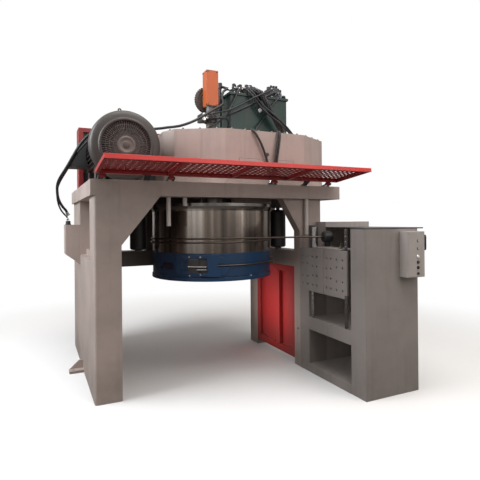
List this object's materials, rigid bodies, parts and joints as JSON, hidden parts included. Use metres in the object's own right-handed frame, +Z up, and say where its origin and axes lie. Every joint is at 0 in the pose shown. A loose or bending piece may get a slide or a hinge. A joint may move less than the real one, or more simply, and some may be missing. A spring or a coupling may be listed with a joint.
{
  "type": "inverted vertical wire drawing machine",
  "caption": "Fixed machine frame with a deck that carries a motor, gearbox and oil tank, a hanging drawing block, and a die stand beside it.",
  "frame": {"origin": "centre of the machine's box, on the floor", "axes": "+Z up; +X to the right along the front beam; +Y from the front to the back"},
  "size_m": [2.9509, 2.895, 3.006],
  "materials": {
    "beige_paint": "satin warm grey machine paint, dusty",
    "grey_paint": "satin grey paint",
    "dark_paint": "dark grey paint",
    "red_paint": "satin red paint",
    "chrome": "bright plated steel",
    "polished_steel": "ground and polished by the wire",
    "spindle_steel": "turned steel",
    "blue_paint": "satin blue paint",
    "rod_steel": "dark drawn steel",
    "black_holder": "matt black",
    "black_plastic": "matt black",
    "rubber": "black rubber",
    "green_paint": "dark green hammered paint",
    "orange_paint": "orange paint",
    "small_motor": "dark finned casting"
  },
  "bodies": {
    "root": {"left_wall": "beige_paint", "left_wall_posts": "beige_paint", "left_inner_plate": "beige_paint", "cable_box": "beige_paint", "anchor_foot": "beige_paint", "box_gussets": "beige_paint", "front_beam": "beige_paint", "side_beams": "beige_paint", "back_beam": "beige_paint", "deck_plate": "beige_paint", "right_leg": "beige_paint", "right_rear_post": "beige_paint", "right_mid_rail": "beige_paint", "back_cross_beam": "beige_paint", "back_strut": "grey_paint", "hanging_rods": "beige_paint", "side_gate": "red_paint", "stand_column": "beige_paint", "stand_outer_panel": "beige_paint", "stand_sills": "beige_paint", "stand_rear_column": "beige_paint", "stand_rear_box": "beige_paint", "stand_lid": "dark_paint", "drilled_plate": "beige_paint", "plate_rails": "chrome", "die_holder": "black_holder", "die_tray": "beige_paint", "guide_roller_bracket": "grey_paint", "control_box": "beige_paint", "control_buttons": "black_plastic", "drawn_wire": "rod_steel", "press_roller_hangers": "grey_paint", "motor_body": "grey_paint", "motor_cowl": "grey_paint", "terminal_box": "dark_paint", "belt_guard_frame": "red_paint", "belt_guard_panels": "dark_paint", "gearbox_cover": "beige_paint", "oil_tank": "green_paint", "tank_lid": "green_paint", "valves_and_fittings": "dark_paint", "top_column": "spindle_steel", "orange_gear_case": "orange_paint", "top_motor": "small_motor", "walkway_hinges": "dark_paint", "hose_front_left": "rubber", "hose_front_right": "rubber", "hose_cross": "rubber", "hose_bundle": "rubber", "hose_long": "rubber"},
    "drawing_block": {"drum": "polished_steel", "drum_skirt": "blue_paint", "gripper": "blue_paint", "tie_rod": "rod_steel", "drum_spindle": "spindle_steel"},
    "guide_roller_body": {"guide_roller": "chrome"},
    "press_roller_right_body": {"press_roller_right": "rubber"},
    "press_roller_left_body": {"press_roller_left": "rubber"},
    "walkway": {"walkway_frame": "red_paint", "walkway_sheet": "red_paint"}
  },
  "joints": [
    {"name": "drawing_block_spin", "type": "hinge", "parent": "root", "child": "drawing_block", "pos_m": [-0.0555, 0.1355, 1.62], "axis": [0, 0, 1], "continuous": true},
    {"name": "guide_roller_spin", "type": "hinge", "parent": "root", "child": "guide_roller_body", "pos_m": [0.7155, -0.58984, 1.2], "axis": [0, 0, 1], "continuous": true},
    {"name": "press_roller_right_spin", "type": "hinge", "parent": "root", "child": "press_roller_right_body", "pos_m": [0.62315, -0.0591, 1.18], "axis": [0, 0, 1], "continuous": true},
    {"name": "press_roller_left_spin", "type": "hinge", "parent": "root", "child": "press_roller_left_body", "pos_m": [-0.78031, 0.28956, 1.18], "axis": [0, 0, 1], "continuous": true},
    {"name": "walkway_fold", "type": "hinge", "parent": "root", "child": "walkway", "pos_m": [-0.105, -0.4845, 1.822], "axis": [-1, 0, 0], "range_deg": [0, 65]}
  ]
}
